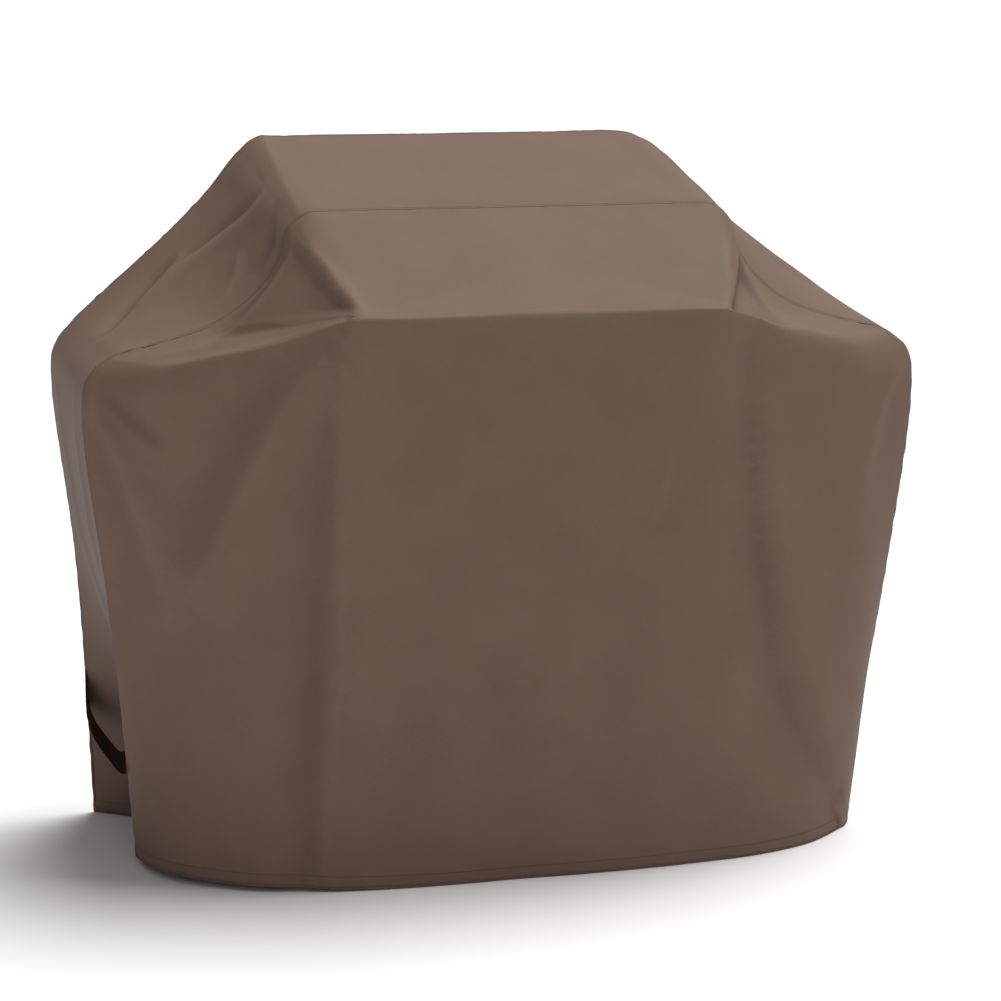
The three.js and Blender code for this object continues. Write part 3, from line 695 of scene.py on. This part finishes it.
# ---- Stitches
def stitch_piece(name, path, outward):
    """A row of arched stitches whose ends go into the cloth."""
    length = distance_along(path)
    end_gap = STITCH["pitch"] * 2
    centres = np.arange(end_gap, length[-1] / MM - end_gap, STITCH["pitch"]) * MM

    def along_path(values, at):
        return np.stack([np.interp(at, length, values[:, k]) for k in range(3)], -1)

    at = along_path(path, centres)
    normal = unit(along_path(outward, centres))
    along = unit(along_path(path, centres + MM) - at)
    beside = np.cross(along, normal)
    sides = STITCH_SIDES
    rings, corners = np.linspace(-1, 1, STITCH_RINGS), np.arange(sides) * 2 * math.pi / sides
    points = []
    for ring in rings:
        height = STITCH["arch"] * (1 - ring**2) - STITCH["sunk"]
        radius = STITCH["radius"] * (1 - STITCH["thinner"] * ring**2)
        for corner in corners:
            points.append(at + (along * ring * STITCH["half"] + beside * radius * math.cos(corner)
                                + normal * (height + radius * math.sin(corner))) * MM)
    per_stitch = len(rings) * len(corners)
    points = np.array(points).transpose(1, 0, 2).reshape(-1, 3)
    ring_faces = []
    for k in range(len(rings) - 1):
        for c in range(sides):
            a, b = k * sides + c, k * sides + (c + 1) % sides
            ring_faces.append((a, b, b + sides, a + sides))
    starts = (np.arange(len(centres)) * per_stitch)[:, None, None]
    faces = (np.array(ring_faces)[None] + starts).reshape(-1, 4)
    uv = np.stack([np.tile(np.repeat(rings, sides), len(centres)) * STITCH_UV[0],
                   np.tile(np.tile(corners, len(rings)), len(centres)) * STITCH_UV[1]], -1)
    piece = mesh_piece(name, points, faces.tolist(), [THREAD], uv)
    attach(piece, "cover")
    return piece


hem_pieces, sewing = {}, {}        # sewing holds the stitches and the tapes
for place, (lines, hem_normals) in HEMS.items():
    hem_pieces[place] = hem_piece(f"{place}_hem_turn", lines, hem_normals)
    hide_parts(f"{place}_hem")
    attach(hem_pieces[place], "cover")
    path = above_hem(lines, THREAD_ABOVE_HEM * MM)
    sewing[place] = stitch_piece(f"{place}_hem_stitches", path, hem_normals)
    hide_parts(f"{place}_hem_thread")

for place, sewn in (("front", front_sewn), ("back", back_sewn)):
    band_normals = normals_of(band, 1)[:, 1 if place == "front" else -2]
    seam_path = sewn["seam"] + sewn["band"] * THREAD_FROM_SEAM * MM
    seam_stitches = stitch_piece(f"{place}_seam_stitches", seam_path, band_normals)
    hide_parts(f"{place}_seam_thread")
    sewing[f"{place}_seam"] = seam_stitches
    lateral = unit(sewn["panel"] - sewn["band"])
    layers = [sewn["seam"] + (lateral * shift - sewn["outward"] * deep) * MM for shift, deep in TAPE_SECTION]
    tape = strip_piece(f"{place}_seam_tape", [layer[TAPE_END:-TAPE_END] for layer in layers], TAPE)
    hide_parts(f"{place}_seam_binding")
    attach(tape, "cover")
    sewing[f"{place}_tape"] = tape


# ---- Handles
def handle_line(at, span):
    """Height and slope of a handle's middle line, at a distance along its span."""
    ahead = at < HANDLE["low_share"] * span
    reach = np.where(ahead, HANDLE["low_share"], 1 - HANDLE["low_share"])
    rise = np.where(ahead, HANDLE["front"], HANDLE["back"]) - HANDLE["low"]
    t = np.abs(at / span - HANDLE["low_share"]) / reach
    height = HANDLE["low"] + rise * t ** HANDLE["sharpness"]
    slope = rise * HANDLE["sharpness"] * t ** (HANDLE["sharpness"] - 1) / (reach * span)
    return height, slope


def handle_half(name, sign, at_front):
    """Half of a webbing handle, from its seam to the lowest stretch."""
    ends = [settle(line.at(step_at_height(line, height)) * (sign, 1, 1))
            for line, height in ((front_line, HANDLE["front"]), (back_line, HANDLE["back"]))]
    along = ends[1] - ends[0]
    along[2] = 0
    span = float(np.linalg.norm(along))
    along = along / span
    outward = np.array([-along[1], along[0], 0]) * -sign
    split = HANDLE["low_share"] * span
    limits = (WEBBING["clear"], split) if at_front else (split, span - WEBBING["clear"])
    at = np.linspace(*limits, HANDLE_STEPS)
    height, slope = handle_line(at, span)
    out = WEBBING["lift"] * smooth(np.minimum(at, span - at) / WEBBING["lift_over"]) - WEBBING["sunk"]
    outline = WEBBING_SECTION + [(w, -h) for w, h in WEBBING_SECTION[::-1]]
    rings = []
    for w, h in outline:
        shift = w * WEBBING["width"] / 2 * np.hypot(1, slope)
        lift = out + h * WEBBING["thickness"] / 2
        points = ends[0] + along * at[:, None] + outward * lift[:, None]
        points[:, 2] = height + shift
        rings.append(to_frame(points))
    number = np.arange(len(rings) * len(at)).reshape(len(rings), len(at))
    number = np.vstack([number, number[:1]])
    length = distance_along(rings[0])
    uv = np.array([[(w * WEBBING["width"] / 2 * MM, v) for v in length] for w, _ in outline]).reshape(-1, 2)
    faces = quads(number, -sign).tolist()
    caps = [number[:-1, 0].tolist(), number[:-1, -1][::-1].tolist()]
    faces += [cap if sign < 0 else cap[::-1] for cap in caps]
    piece = mesh_piece(name, np.concatenate(rings), faces, [WEB], uv)
    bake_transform(piece)
    return piece


for label, sign in (("left_handle", -1), ("right_handle", 1)):
    front_half = handle_half(f"{label}_strap_front", sign, True)
    back_half = handle_half(f"{label}_strap_back", sign, False)
    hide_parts(label, f"{label}_front_end")
    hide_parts(f"{label}_back_end")

# ---- Floor, light and camera
FLOOR_SIZE, FLOOR_HEIGHT, FLOOR_TONE, SKY_STRENGTH = 400, -0.001, 0.8, 0.26
floor_material, _, floor_shader = material("pale_floor")
floor_shader.inputs["Base Color"].default_value = (FLOOR_TONE, FLOOR_TONE, FLOOR_TONE, 1)
floor_shader.inputs["Roughness"].default_value = 0.9
bpy.ops.mesh.primitive_plane_add(size=FLOOR_SIZE, location=(0, 0, FLOOR_HEIGHT))
floor = bpy.context.object
floor.name = "floor"
floor.data.materials.append(floor_material)

scene = bpy.context.scene
scene.world = bpy.data.worlds.new("studio")
scene.world.use_nodes = True
sky = scene.world.node_tree.nodes["Background"]
sky.inputs["Color"].default_value = (1, 1, 1, 1)
sky.inputs["Strength"].default_value = SKY_STRENGTH
scene.view_settings.view_transform = "Standard"


def sun(name, source, strength, spread):
    """Soft light from the direction of source, as wide as spread in degrees."""
    data = bpy.data.lights.new(name, "SUN")
    data.energy, data.angle = strength, math.radians(spread)
    lamp = bpy.data.objects.new(name, data)
    lamp.rotation_mode = "QUATERNION"
    lamp.rotation_quaternion = Vector(source).to_track_quat("Z", "Y")
    scene.collection.objects.link(lamp)


sun("overhead", (0.36, 0.14, 1), 4.1, 42)
sun("from_front", (0.0, -1.0, 0.12), 0.6, 40)

CAMERA_AT, LOOKED_AT = Vector((-1.4177, -4.9933, 1.5376)), Vector((-0.006, 0.063, 0.593))
LENS, SENSOR_WIDTH, SHIFT_ACROSS = 107.9, 36, 0.018
camera_data = bpy.data.cameras.new("camera")
camera_data.lens, camera_data.sensor_width, camera_data.shift_x = LENS, SENSOR_WIDTH, SHIFT_ACROSS
camera = bpy.data.objects.new("camera", camera_data)
camera.location = CAMERA_AT
camera.rotation_mode = "QUATERNION"
camera.rotation_quaternion = (LOOKED_AT - CAMERA_AT).to_track_quat("-Z", "Y")
scene.collection.objects.link(camera)
scene.camera = camera
